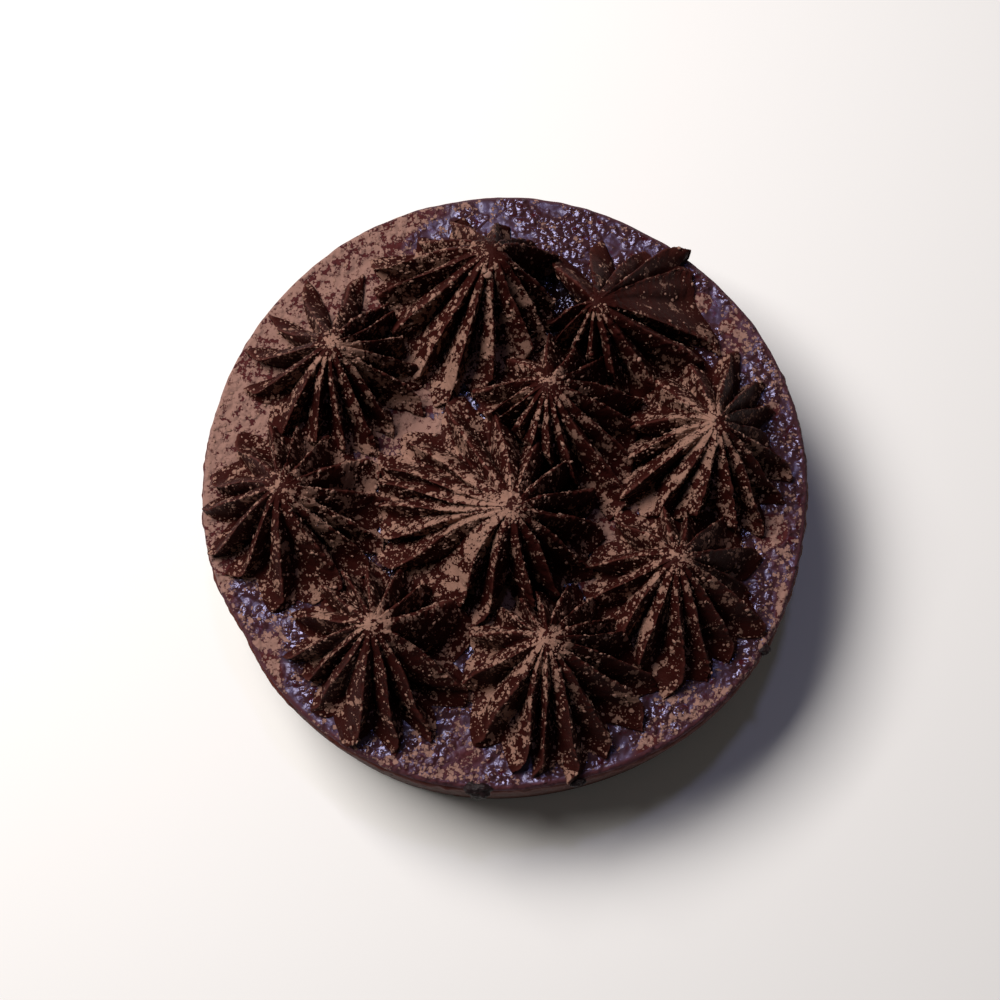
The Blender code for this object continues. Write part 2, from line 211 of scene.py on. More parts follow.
piping = {
    "footLevel": 40.3 * mm,
    "centreLineShare": 0.5,  # the centre line starts this far on the way from the foot's middle to the peak
    "steepShare": 0.24,  # each crest leans: its steep side takes this share of the way to the next crest
    "profile": (  # foot to peak: share of the radius, share of the height, groove depth
        (1.000, 0.000, 0.15),
        (0.985, 0.030, 0.20),
        (0.950, 0.080, 0.29),
        (0.895, 0.155, 0.38),
        (0.820, 0.255, 0.45),
        (0.720, 0.385, 0.48),
        (0.605, 0.530, 0.48),
        (0.475, 0.670, 0.43),
        (0.335, 0.810, 0.37),
        (0.195, 0.925, 0.27),
        (0.070, 0.988, 0.12),
        (0.000, 1.000, 0.00),
    ),
    "broadColumns": (0.93, 0.86, 0.78, 0.70, 0.62, 0.54, 0.46, 0.38, 0.30, 0.22, 0.15, 0.09, 0.04),
    "steepColumns": (0.06, 0.14, 0.24, 0.36, 0.49, 0.63, 0.78),
    "rows": 136,
    "rowCrowding": 1.15,  # above 1 the rows lie closer at the foot
    "crestRounding": 0.04,
    "sectionBend": (0.85, 1.25),  # below 1 a fin is hollowed towards its crest
    "insideRim": 1.0 * mm,
    "neighbourReach": 1.15,  # stars count as neighbours up to this many times their two radii apart
    "spread": 0.14,  # how much further the fins run where a neighbour stands, up to the wall between the two
    "spreadRange": (0.4, 0.85),  # cosine of the angle to the neighbour at which that starts and is full
    "overshoot": (-0.2, 1.2),  # millimetres by which crests stop short of or run past that wall
    "openToes": 4.5,  # how many times deeper a groove is cut at the foot there
    "deepestCut": 0.72,
    "footGrooves": (1.0, 1.9),
    "footGroovesEnd": (0.05, 0.30),  # shares of the height between which the foot's own groove depth fades
    "lengthSpread": 0.06,
    "depthSpread": 0.16,
    "seed": 41,
    "sunkInGlaze": 0.8 * mm,
    "pressedTogether": 0.5 * mm,
    "toeLean": (3.0, 11.0),  # degrees that a toe is dragged clockwise
    "toeHeight": 0.09,  # share of the height over which that fades
    "toeNarrowing": 1.5,  # above 1 it fades faster from the crest to the groove
    "drag": 3.0,
    "sway": 5.0,  # degrees by which a fin bows sideways, at most swayShare of the gap to the next crest
    "swayShare": 0.25,
    "swayTurns": 1.5,  # half waves of it between foot and peak
    "swaySeed": 141,
    "tears": (1.2 * mm, 1.0 * mm),  # size and depth
    "tornCrest": 0.20,  # how far from the crest the tears reach, as a share of the way to the groove
    "tornPatches": (6 * mm, 0.25, (-0.4, 0.4)),  # size, least share, and the noise that bounds them
    "shallowTears": 0.2,  # the noise above which a tear goes no further out
    "lumps": (5.0 * mm, 0.45 * mm),  # size and height
    "skin": (0.9 * mm, 0.12 * mm, 0.4),  # the same, and how much the noise is squeezed upright
    "crumbledPeak": (1.6 * mm, 0.35 * mm, (0.6, 0.95)),  # the same, and the heights between which it grows
    "plainPeak": (0.93, 1.0),
    "belowTop": 0.02 * mm,  # the skin stays this far below the solid's top
    # these four rows: painted highlight on the crests, and painted light on the flaps
    "paintedCrestHighlight": (0.07, (0.80, 0.97)),  # width of the painted highlight at a crest, and the heights where it ends
    "paintedCrestHighlightPatches": (3.0 * mm, 0.55, (-0.4, 0.3)),
    "paintedLitPatches": (5.0 * mm, 0.75, (-0.4, 0.4)),
    "paintedLitEnd": (0.70, 0.95),
}

# cocoa: sifted from above the left of the middle, so slopes that face that point caught most
cocoa = {
    "siftedFrom": (-24.0, -2.0, 150.0),
    # how much lies on the glaze, by direction from the middle of the cake
    "roundTheRim": {0: 0.36, 20: 0.46, 40: 0.48, 55: 0.26, 70: 0.14, 88: 0.12, 100: 0.30, 110: 0.76,
                    125: 0.94, 150: 0.97, 170: 0.98, 185: 0.98, 197: 0.95, 204: 0.58, 212: 0.58, 225: 0.70,
                    245: 0.66, 260: 0.50, 275: 0.42, 290: 0.42, 297: 0.56, 303: 0.38, 310: 0.42, 317: 0.68,
                    325: 0.68, 340: 0.60},
    "betweenStars": 0.62,
    # glaze that lies open between the stars took more: place, radius in millimetres and amount
    "openPatches": ((-19.5, 10.5, 7.0, 1.15), (-24.5, 16.5, 5.0, 1.1), (-19.0, 22.5, 5.0, 1.0),
                    (24.0, -8.0, 4.5, 0.9), (31.0, -6.5, 3.0, 0.9), (25.7, -13.4, 3.5, 0.9),
                    (21.8, -25.2, 4.0, 0.9), (-21.8, -25.2, 4.0, 0.9), (-0.8, -30.0, 5.0, 1.15),
                    (50.5, 47.5, 3.2, 0.95), (57.0, 41.0, 2.6, 0.9), (66.7, -12.1, 5.5, 0.9),
                    (68.0, 19.3, 2.6, 0.85)),
    "sheltered": 0.35,  # how much less lies in the lee of each star's foot
    "shelter": (-1.0, 2.5),  # millimetres from the star's foot between which the lee ends
    "filledUp": (0.75, (0.70, 0.90)),  # how much of the lee is filled up where the amount passes this range
    "unevenness": (8 * mm, 0.30, 0.14, (0.6, 0.9)),  # size, strength, and how much weaker in thick cocoa
    "bareBand": (0.3 * mm, 1.2 * mm),  # inside the edge, where cocoa slid off
    "bareUnder": (0.40, 0.75),  # unless the amount passes this range
    "slidOff": 0.8,
    "bareHole": 0.6,
    # on the stars: share caught on any slope and the rest on one that faces the sifting, how much more on
    # the star's near side and at the peak, and how much less on thin crests and deep in the grooves
    "caught": (0.55, 0.40, (0.2, 0.95)),
    "nearSide": 0.06,
    "hub": (0.10, (0.45, 0.97)),
    "crestLoss": (0.12, 0.10),
    "grooveLoss": (0.10, (0.8, 1.0)),
    "grainSizes": (0.28 * mm, 1.15 * mm),
    "fewLarge": 2.6,  # the higher, the fewer large grains there are
    "grainCorners": (0.68, 1.25),  # how far a corner lies from the middle, as a share
    "grainStretch": (0.55, 1.5),
    "grainFlattening": 0.55,
    "grainLift": 0.12,  # of its middle above the surface, as a share of its size
    "grainPatches": (3.4 * mm, 1.1, -0.35, (0.12, 1.2), 2.2),  # size, strength, shift, limits and power
    "grainShift": 0.2,  # millimetres
    "grainsOnStars": 8800,
    "grainsOnGlaze": 900,
    "seed": 7,
    # a larger lump on one star: its place in millimetres, the level above which it sits, its half sizes
    "nodule": {"place": (-4.2, 47.1), "above": 50 * mm, "halves": (1.1 * mm, 1.2 * mm, 0.9 * mm),
               "lumps": (0.7, 0.16), "ball": (22, 36, 0.1)},  # size and height, and rows, columns and tip
}

crumbs = {
    # direction on the rim, distance from the middle and size in millimetres
    "places": ((265, 76.2, 3.6), (283.5, 76.4, 2.2), (327, 76.4, 2.4)),
    "level": 38.6 * mm,
    "halves": (0.85, 0.62, 0.55),  # as shares of the size
    "lumps": (0.8, 0.75),  # size and height as shares too
    "apart": 7.0,  # how far apart the noise is read for each crumb
    "ball": (26, 48, 0.12),
}

colours = {
    "cream": "#34120F",
    "creamDeep": "#200907",
    # painted highlight: the paler brown painted on the crest edges and on the flaps as if lit
    "creamPaintedHighlight": "#48241F",
    "glaze": "#2A1519",
    "glazeThin": "#422629",
    "glazePits": "#3A0F12",
    # painted shade: the near-black laid on the glaze between the stars and in the hole
    "glazePaintedShade": "#140809",
    "glazeLip": "#4A2018",
    "cocoa": "#815F52",
    "cocoaPale": "#8F6D5F",
    "cocoaDamp": "#421C08",
    "glazeDusty": "#421400",
    "cakeSide": "#472A24",
    "cakePores": "#2B1613",
    "cakeRim": "#4A2A22",
    "cakeEdge": "#54261F",
    "crumb": "#0C0A10",
    "floor": "#F2F1EF",
}


# noise worked out on whole arrays

def latticeValue(cells, seed):
    # one repeatable number from 0 to 1 for each whole-number cell, by mixing the bits of its coordinates
    a = cells[..., 0].astype(np.uint32) * np.uint32(374761393)
    b = cells[..., 1].astype(np.uint32) * np.uint32(668265263)
    c = cells[..., 2].astype(np.uint32) * np.uint32(2246822519)
    mixed = a + b + c + np.uint32(seed * 97 + 13) * np.uint32(3266489917)
    mixed = (mixed ^ (mixed >> np.uint32(13))) * np.uint32(1274126177)
    mixed = (mixed ^ (mixed >> np.uint32(16))) * np.uint32(2654435761)
    return (mixed ^ (mixed >> np.uint32(15))).astype(np.float64) / 4294967295.0


def smoothNoise(points, size, seed):
    # values at the corners of cells of this size, blended by 3t^2 - 2t^3 along each axis, from -1 to 1
    scaled = points / size
    cell = np.floor(scaled).astype(np.int64)
    t = scaled - cell
    t = t * t * (3 - 2 * t)
    total = 0.0
    for corner in range(8):
        step = np.array([corner & 1, corner >> 1 & 1, corner >> 2 & 1])
        weight = np.prod(np.where(step == 1, t, 1 - t), axis=-1)
        total = total + weight * latticeValue((cell + step) & 0xFFFFFFFF, seed)
    return total * 2 - 1


def roughNoise(points, size, octaves, seed):
    # smooth noise summed over octaves, each half the size and 0.55 of the strength of the one before
    total = 0.0
    reach = 0.0
    for octave in range(octaves):
        strength = 0.55**octave
        total = total + strength * smoothNoise(points, size / 2**octave, seed + octave)
        reach += strength
    return total / reach


# shapes of curves

def ramp(values, low, high):
    # 0 below low, 1 above high and a smooth step between them
    t = np.clip((values - low) / (high - low), 0.0, 1.0)
    return t * t * (3 - 2 * t)


def bell(away, width, power=2):
    # 1 at the middle, then e to the minus (distance over width) to this power
    return np.exp(-((away / width) ** power))


def onCurve(stations, share):
    # a smooth curve through evenly numbered stations, each stretch a cubic that its neighbours bend
    stations = np.asarray(stations, float)
    last = len(stations) - 1
    place = np.clip(share, 0, 1) * last
    index = np.minimum(place.astype(int), last - 1)
    t = (place - index)[..., None]
    before = stations[np.maximum(index - 1, 0)]
    start = stations[index]
    end = stations[index + 1]
    after = stations[np.minimum(index + 2, last)]
    return 0.5 * (2 * start + (end - before) * t + (2 * before - 5 * start + 4 * end - after) * t**2
                  + (3 * start - before - 3 * end + after) * t**3)


def onCircle(degrees):
    # unit vectors in plan
    return np.stack([np.cos(np.radians(degrees)), np.sin(np.radians(degrees))], axis=-1)


def ballGrid(rows, columns, tip):
    # circles of latitude of a unit ball, the first and the last this angle from the poles
    down = np.linspace(tip, math.pi - tip, rows)[:, None]
    turn = (np.arange(columns) * 2 * math.pi / columns)[None, :]
    flat = np.sin(down)
    return np.stack([flat * np.cos(turn), flat * np.sin(turn), -np.cos(down) + 0 * turn], axis=-1)


def apart(angles, direction):
    # turn from a direction to each angle, from -180 to 180 degrees
    return (angles - direction + 180.0) % 360.0 - 180.0


def awayFrom(place, grid):
    # distance in plan from a place in millimetres
    return np.hypot(grid[..., 0] - place[0] * mm, grid[..., 1] - place[1] * mm)


# meshes from arrays

def addPiece(name, points, corners, faceSizes, material):
    # a smooth object from its points, its faces' corners in turn and the number of corners of each face
    mesh = bpy.data.meshes.new(name)
    mesh.vertices.add(len(points))
    mesh.vertices.foreach_set("co", points.ravel())
    mesh.loops.add(len(corners))
    mesh.loops.foreach_set("vertex_index", corners.astype(np.int32))
    mesh.polygons.add(len(faceSizes))
    mesh.polygons.foreach_set("loop_start", (np.cumsum(faceSizes) - faceSizes).astype(np.int32))
    mesh.update(calc_edges=True)
    mesh.validate()
    mesh.shade_smooth()
    mesh.materials.append(material)
    piece = bpy.data.objects.new(name, mesh)
    bpy.context.scene.collection.objects.link(piece)
    return piece


def gridNormals(grid):
    # cross product of the steps along the columns, which close on themselves, and along the rows
    around = np.roll(grid, -1, axis=1) - np.roll(grid, 1, axis=1)
    along = np.gradient(grid, axis=0)
    normals = np.cross(around, along)
    length = np.linalg.norm(normals, axis=-1, keepdims=True)
    return normals / np.maximum(length, 1e-12)


def closedGrid(name, grid, material, above=None, attributes=None):
    # rows of a closed round surface from its under side to its top, with a fan of triangles at each pole,
    # and attributes with a value for every grid point
    rows, columns = grid.shape[:2]
    above = grid[-1].mean(axis=0) if above is None else above
    points = np.concatenate([grid.reshape(-1, 3), grid[0].mean(axis=0)[None], above[None]])
    here = np.arange(columns)
    beside = (here + 1) % columns
    row = (np.arange(rows - 1) * columns)[:, None]
    quads = np.stack([row + here, row + beside, row + beside + columns, row + here + columns], axis=-1)
    bottomFan = np.stack([np.full(columns, rows * columns), beside, here], axis=-1)
    lastRow = (rows - 1) * columns
    topFan = np.stack([np.full(columns, rows * columns + 1), lastRow + here, lastRow + beside], axis=-1)
    corners = np.concatenate([quads.ravel(), bottomFan.ravel(), topFan.ravel()])
    faceSizes = np.concatenate([np.full((rows - 1) * columns, 4), np.full(2 * columns, 3)])
    piece = addPiece(name, points, corners, faceSizes, material)
    for label, values in (attributes or {}).items():
        layer = piece.data.attributes.new(label, "FLOAT", "POINT")
        full = np.concatenate([values.ravel(), [values[0].mean(), values[-1].mean()]])
        layer.data.foreach_set("value", full.astype(np.float32))
    return piece


# materials

def toLinear(hexColour):
    # sRGB hex to linear red, green, blue, alpha
    parts = [int(hexColour[i:i + 2], 16) / 255 for i in (1, 3, 5)]
    return [p / 12.92 if p <= 0.04045 else ((p + 0.055) / 1.055) ** 2.4 for p in parts] + [1.0]


paint = {name: toLinear(code) for name, code in colours.items()}


def fillInputs(tree, node, inputs):
    # each input is set to a value, or linked to an output socket or to the first output of a node
    for name, value in inputs.items():
        if isinstance(value, bpy.types.Node):
            value = value.outputs[0]
        if isinstance(value, bpy.types.NodeSocket):
            tree.links.new(value, node.inputs[name])
        else:
            node.inputs[name].default_value = value


def addNode(tree, kind, inputs=None, **settings):
    # a node with its settings and its inputs
    node = tree.nodes.new("ShaderNode" + kind)
    for name, value in settings.items():
        setattr(node, name, value)
    fillInputs(tree, node, inputs or {})
    return node


def fromTo(source, target=(0.0, 1.0)):
    # the four limits of a Map Range node: between these values it gives values between those
    return dict(zip((1, 2, 3, 4), source + target))


def startMaterial(name):
    material = bpy.data.materials.new(name)
    material.use_nodes = True
    tree = material.node_tree
    return material, tree, tree.nodes["Principled BSDF"]


def layColours(tree, colour, *layers):
    # colours laid over the first one, each covering by its own share all that lies below it
    for share, upper in layers:
        mixed = addNode(tree, "Mix", {0: share, 6: colour, 7: upper}, data_type="RGBA")
        colour = mixed.outputs[2]
    return colour


# The inputs of each node, with sizes as 1 / mm, and the ranges between which a value is read or given
cocoaLook = {
    "drawnOut": (1.0, 1.0, 0.45),
    "clumps": (({"Scale": 1 / (5.0 * mm), "Detail": 2.0, "Roughness": 0.68}, 0.28),
               ({"Scale": 1 / (2.2 * mm), "Detail": 4.0, "Roughness": 0.68}, 0.48)),
    "clumpRange": (0.34, 0.66),
    "closing": (0.78, 1.08),  # amounts between which the grains close up to a sheet
    "closed": (-0.08, 0.58),  # what that adds to their reach
    "ragged": {"Scale": 1 / (0.45 * mm), "Detail": 2.0},
    "raggedShift": 0.6 * mm,
    "grains": ((1.25 * mm, 0.38, 0.70), (0.68 * mm, 0.34, 0.68)),  # size, least share and random rest
    "grainEdge": (-0.02, 0.05),
}


def cocoaMask(tree, where):
    # cocoa as grains: round each random cell centre a grain whose reach is the amount given by the mesh
    # times a random share of its own, so that little cocoa gives single specks and much of it closes up to
    # a sheet with cracks and holes. Grains of 1.2 mm and of 0.7 mm are laid over each other, in ragged
    # clumps of 2 mm and patches of 5 mm. It fell from above, so a steep flank draws the pattern out
    look = cocoaLook
    where = addNode(tree, "VectorMath", {0: where, 1: look["drawnOut"]}, operation="MULTIPLY")
    total = addNode(tree, "Attribute", attribute_name="cocoa").outputs["Fac"]
    for noise, most in look["clumps"]:
        clump = addNode(tree, "TexNoise", {"Vector": where, **noise})
        spread = addNode(tree, "MapRange", {0: clump, **fromTo(look["clumpRange"], (-most, most))})
        total = addNode(tree, "Math", {0: total, 1: spread})
    closed = addNode(tree, "MapRange", {0: total, **fromTo(look["closing"], look["closed"])})
    ragged = addNode(tree, "TexNoise", {"Vector": where, **look["ragged"]})
    shift = addNode(tree, "VectorMath", {0: ragged.outputs["Color"], 1: (look["raggedShift"],) * 3,
                                         2: where}, operation="MULTIPLY_ADD")
    masks = []
    for size, least, rest in look["grains"]:
        cells = addNode(tree, "TexVoronoi", {"Vector": shift, "Scale": 1 / size})
        chance = addNode(tree, "SeparateColor", {0: cells.outputs["Color"]})
        own = addNode(tree, "Math", {0: chance, 1: rest, 2: least}, operation="MULTIPLY_ADD")
        reach = addNode(tree, "Math", {0: own, 1: total, 2: closed}, operation="MULTIPLY_ADD")
        inside = addNode(tree, "Math", {0: reach, 1: cells.outputs["Distance"]}, operation="SUBTRACT")
        mask = addNode(tree, "MapRange", {0: inside, **fromTo(look["grainEdge"])},
                       interpolation_type="SMOOTHSTEP")
        masks.append(mask)
    return addNode(tree, "Math", {0: masks[0], 1: masks[1]}, operation="MAXIMUM")


def powderColour(tree, where, size=1.6 * mm):
    # the cocoa's own brown, paler in spots of this size
    tint = addNode(tree, "TexNoise", {"Vector": where, "Scale": 1 / size, "Detail": 2.0})
    return layColours(tree, paint["cocoa"], (tint, paint["cocoaPale"]))


ganacheLook = {
    "drift": {"Scale": 1 / (7 * mm), "Detail": 3.0},
    "roughness": (0.56, 0.95),  # bare and under cocoa
    "fine": {"Scale": 1 / (0.5 * mm), "Detail": 3.0},
    "cocoaHeight": 0.8,  # against the fine relief
    "relief": {"Distance": 0.22 * mm, "Strength": 0.8},
    "shader": {"IOR": 1.46, "Specular IOR Level": 0.07, "Specular Tint": (1.0, 0.70, 0.62, 1.0)},
}


def pipedGanache():
    # whipped chocolate ganache pushed through a fluted nozzle: satin, near-black brown, painted paler as a
    # painted highlight on the fins' crests and as painted light on some flaps, dry cocoa stuck on it
    look = ganacheLook
    material, tree, shader = startMaterial("piped_chocolate_ganache")
    where = addNode(tree, "TexCoord").outputs["Object"]
    drift = addNode(tree, "TexNoise", {"Vector": where, **look["drift"]})
    # the edge attribute holds the painted highlight on crests and the painted light on flaps
    edge = addNode(tree, "Attribute", attribute_name="edge")
    mask = cocoaMask(tree, where)
    colour = layColours(tree, paint["creamDeep"], (drift, paint["cream"]),
                        (edge.outputs["Fac"], paint["creamPaintedHighlight"]), (mask, powderColour(tree, where)))
    roughness = addNode(tree, "MapRange", {0: mask, **fromTo((0.0, 1.0), look["roughness"])})
    fine = addNode(tree, "TexNoise", {"Vector": where, **look["fine"]})
    raised = addNode(tree, "Math", {0: mask, 1: look["cocoaHeight"], 2: fine}, operation="MULTIPLY_ADD")
    bump = addNode(tree, "Bump", {"Height": raised, **look["relief"]})
    fillInputs(tree, shader, {"Base Color": colour, "Roughness": roughness,
                              "Normal": bump, **look["shader"]})
    return material


glazeLook = {
    "drift": {"Scale": 1 / (4 * mm), "Detail": 4.0},
    "pits": {"Scale": 1 / (2.2 * mm), "Detail": 3.0},
    "pitted": (0.60, 0.66),
    "dusty": (0.42, 0.66),  # amounts of cocoa between which the glaze under it turns dull
    "caked": {"Scale": 1 / (1.6 * mm), "Detail": 5.0, "Roughness": 0.75},
    "cracked": (0.54, 0.62),
    "crackShare": (0.0, 0.9),
    "region": {"Scale": 1 / (8 * mm), "Detail": 3.0},  # patches that are wet or only satin
    "wetRegion": (0.42, 0.53),
    "roughness": (0.40, 0.19),  # satin and wet
    "shadedRoughness": 0.16,
    "dullRoughness": 1.0,
    "coat": (0.15, 0.0),  # clean and dull
    "warp": {"Scale": 1 / (1.4 * mm), "Detail": 2.0},
    "warpShift": 0.9 * mm,
    "beads": {"Scale": 1 / (1.6 * mm), "Smoothness": 0.6},
    "beadedRegion": (0.42, 0.54),
    "beadHeight": (0.25, 1.30),
    "cocoaHeight": 0.3,
    "relief": {"Distance": 0.8 * mm, "Strength": 0.9},
    "shader": {"Coat Roughness": 0.15, "IOR": 1.5, "Specular IOR Level": 0.62,
               "Specular Tint": (0.55, 0.56, 1.0, 1.0)},
}


def pouredGlaze():
    # poured chocolate glaze, set over a grainy top: a wet coat over satin chocolate, beaded at 1.6 mm in
    # patches of 8 mm, so it glitters in clusters; cocoa dulls it and has drawn damp in patches and cracks
    # of 1.6 mm, and where the glaze runs thin at the edge the cake shows brown
    look = glazeLook
    material, tree, shader = startMaterial("poured_chocolate_glaze")
    where = addNode(tree, "TexCoord").outputs["Object"]
    drift = addNode(tree, "TexNoise", {"Vector": where, **look["drift"]})
    pits = addNode(tree, "TexNoise", {"Vector": where, **look["pits"]})
    pitted = addNode(tree, "MapRange", {0: pits, **fromTo(look["pitted"])})
    shaded, thin, amount = [addNode(tree, "Attribute", attribute_name=name).outputs["Fac"]
                            for name in ("shaded", "thin", "cocoa")]
    dusty = addNode(tree, "MapRange", {0: amount, **fromTo(look["dusty"])})
    caked = addNode(tree, "TexNoise", {"Vector": where, **look["caked"]})
    cracks = addNode(tree, "MapRange", {0: caked, **fromTo(look["cracked"], look["crackShare"])})
    powder = layColours(tree, powderColour(tree, where), (cracks, paint["cocoaDamp"]))
    mask = cocoaMask(tree, where)
    # the near-black layer laid by shaded is painted shade between the stars and in the hole
    colour = layColours(tree, paint["glaze"], (drift, paint["glazeThin"]),
                        (pitted, paint["glazePits"]), (shaded, paint["glazePaintedShade"]),
                        (thin, paint["glazeLip"]), (dusty, paint["glazeDusty"]), (mask, powder))
    dull = mask
    for other in (thin, dusty):
        dull = addNode(tree, "Math", {0: dull, 1: other}, operation="MAXIMUM")
    region = addNode(tree, "TexNoise", {"Vector": where, **look["region"]})
    wetness = addNode(tree, "MapRange", {0: region, **fromTo(look["wetRegion"], look["roughness"])})
    smooth = addNode(tree, "Mix", {0: shaded, 2: wetness, 3: look["shadedRoughness"]})
    roughness = addNode(tree, "Mix", {0: dull, 2: smooth, 3: look["dullRoughness"]})
    coat = addNode(tree, "MapRange", {0: dull, **fromTo((0.0, 1.0), look["coat"])})
    warp = addNode(tree, "TexNoise", {"Vector": where, **look["warp"]})
    warped = addNode(tree, "VectorMath", {0: warp.outputs["Color"], 1: (look["warpShift"],) * 3,
                                          2: where}, operation="MULTIPLY_ADD")
    cells = addNode(tree, "TexVoronoi", {"Vector": warped, **look["beads"]}, feature="SMOOTH_F1")
    beads = addNode(tree, "Math", {0: 1.0, 1: cells.outputs["Distance"]}, operation="SUBTRACT")
    height = addNode(tree, "MapRange", {0: region, **fromTo(look["beadedRegion"], look["beadHeight"])})
    wet = addNode(tree, "Math", {0: beads, 1: height}, operation="MULTIPLY")
    raised = addNode(tree, "Math", {0: mask, 1: look["cocoaHeight"], 2: wet}, operation="MULTIPLY_ADD")
    bump = addNode(tree, "Bump", {"Height": raised, **look["relief"]})
    fillInputs(tree, shader, {"Base Color": colour, "Roughness": roughness,
                              "Coat Weight": coat, "Normal": bump, "Coat Normal": bump,
                              **look["shader"]})
    return material


cakeLook = {
    "drift": {"Scale": 1 / (9 * mm), "Detail": 4.0},
    "drawnOut": (1.0, 1.0, 0.2),
    "streaks": {"Scale": 1 / (2.6 * mm), "Detail": 5.0, "Roughness": 0.7},
    "streaked": (0.46, 0.72),
    "streakShare": (0.0, 0.8),
    "roughness": (0.50, 0.72),
    "fine": {"Scale": 1 / (0.6 * mm), "Detail": 3.0},
    "relief": {"Distance": 0.2 * mm, "Strength": 0.6},
    "shader": {"IOR": 1.45, "Specular IOR Level": 0.07},
}


def bakedCake():
    # chocolate cheesecake baked in a ring: close, matt and slightly porous, streaked upwards by the ring
    # as it was lifted off, a little redder where it shows at the rim
    look = cakeLook
    material, tree, shader = startMaterial("baked_chocolate_cheesecake")
    where = addNode(tree, "TexCoord").outputs["Object"]
    drift = addNode(tree, "TexNoise", {"Vector": where, **look["drift"]})
    pores, upper = [addNode(tree, "Attribute", attribute_name=name).outputs["Fac"]
                    for name in ("pores", "upper")]
    upright = addNode(tree, "VectorMath", {0: where, 1: look["drawnOut"]}, operation="MULTIPLY")
    streaks = addNode(tree, "TexNoise", {"Vector": upright, **look["streaks"]})
    streaked = addNode(tree, "MapRange", {0: streaks, **fromTo(look["streaked"], look["streakShare"])})
    colour = layColours(tree, paint["cakeSide"], (drift, paint["cakeRim"]),
                        (streaked, paint["cakePores"]), (upper, paint["cakeEdge"]),
                        (pores, paint["cakePores"]), (cocoaMask(tree, where), paint["cocoa"]))
    roughness = addNode(tree, "MapRange", {0: drift, **fromTo((0.0, 1.0), look["roughness"])})
    fine = addNode(tree, "TexNoise", {"Vector": where, **look["fine"]})
    bump = addNode(tree, "Bump", {"Height": fine, **look["relief"]})
    fillInputs(tree, shader, {"Base Color": colour, "Roughness": roughness,
                              "Normal": bump, **look["shader"]})
    return material


def siftedCocoa():
    # dry cocoa powder clinging in grains: fully matt, pale milk-chocolate brown
    material, tree, shader = startMaterial("sifted_cocoa_powder")
    where = addNode(tree, "TexCoord").outputs["Object"]
    powder = powderColour(tree, where, 2.5 * mm)
    fillInputs(tree, shader, {"Base Color": powder, "Roughness": 0.95, "IOR": 1.4})
    return material


crumbLook = {
    "fine": {"Scale": 1 / (0.8 * mm), "Detail": 3.0},
    "relief": {"Distance": 0.4 * mm, "Strength": 0.8},
    "shader": {"Roughness": 0.6, "Specular IOR Level": 0.25},
}


def burntCrumb():
    # over-baked cake crumb: nearly black, rough, with a faint oily gleam
    look = crumbLook
    material, tree, shader = startMaterial("burnt_cake_crumb")
    where = addNode(tree, "TexCoord").outputs["Object"]
    fine = addNode(tree, "TexNoise", {"Vector": where, **look["fine"]})
    bump = addNode(tree, "Bump", {"Height": fine, **look["relief"]})
    fillInputs(tree, shader, {"Base Color": layColours(tree, paint["crumb"], (fine, paint["creamDeep"])),
                              "Normal": bump, **look["shader"]})
    return material


# the cake body

def rimRadius(degrees):
    # the ring's radius plus three cosine waves, less one rounded chip
    radius = np.full_like(degrees, cake["radius"])
    for count, amplitude, crest in cake["rimWaves"]:
        radius = radius + amplitude * np.cos(count * np.radians(degrees - crest))
    where, halfWidth, depth = cake["rimChip"]
    return radius - depth * bell(apart(degrees, where), halfWidth)


def rimShift():
    # the solids are centred on the box of their own coarser rim, and so is this
    degrees = np.arange(cake["solidRim"]) * 360.0 / cake["solidRim"]
    rim = rimRadius(degrees)[:, None] * onCircle(degrees)
    return np.append((rim.min(axis=0) + rim.max(axis=0)) / 2, 0.0)


def cocoaByDirection(degrees):
    # straight lines between the directions given, closed on themselves
    known = sorted(cocoa["roundTheRim"].items())
    return np.interp(degrees % 360.0, [k for k, v in known], [v for k, v in known], period=360.0)


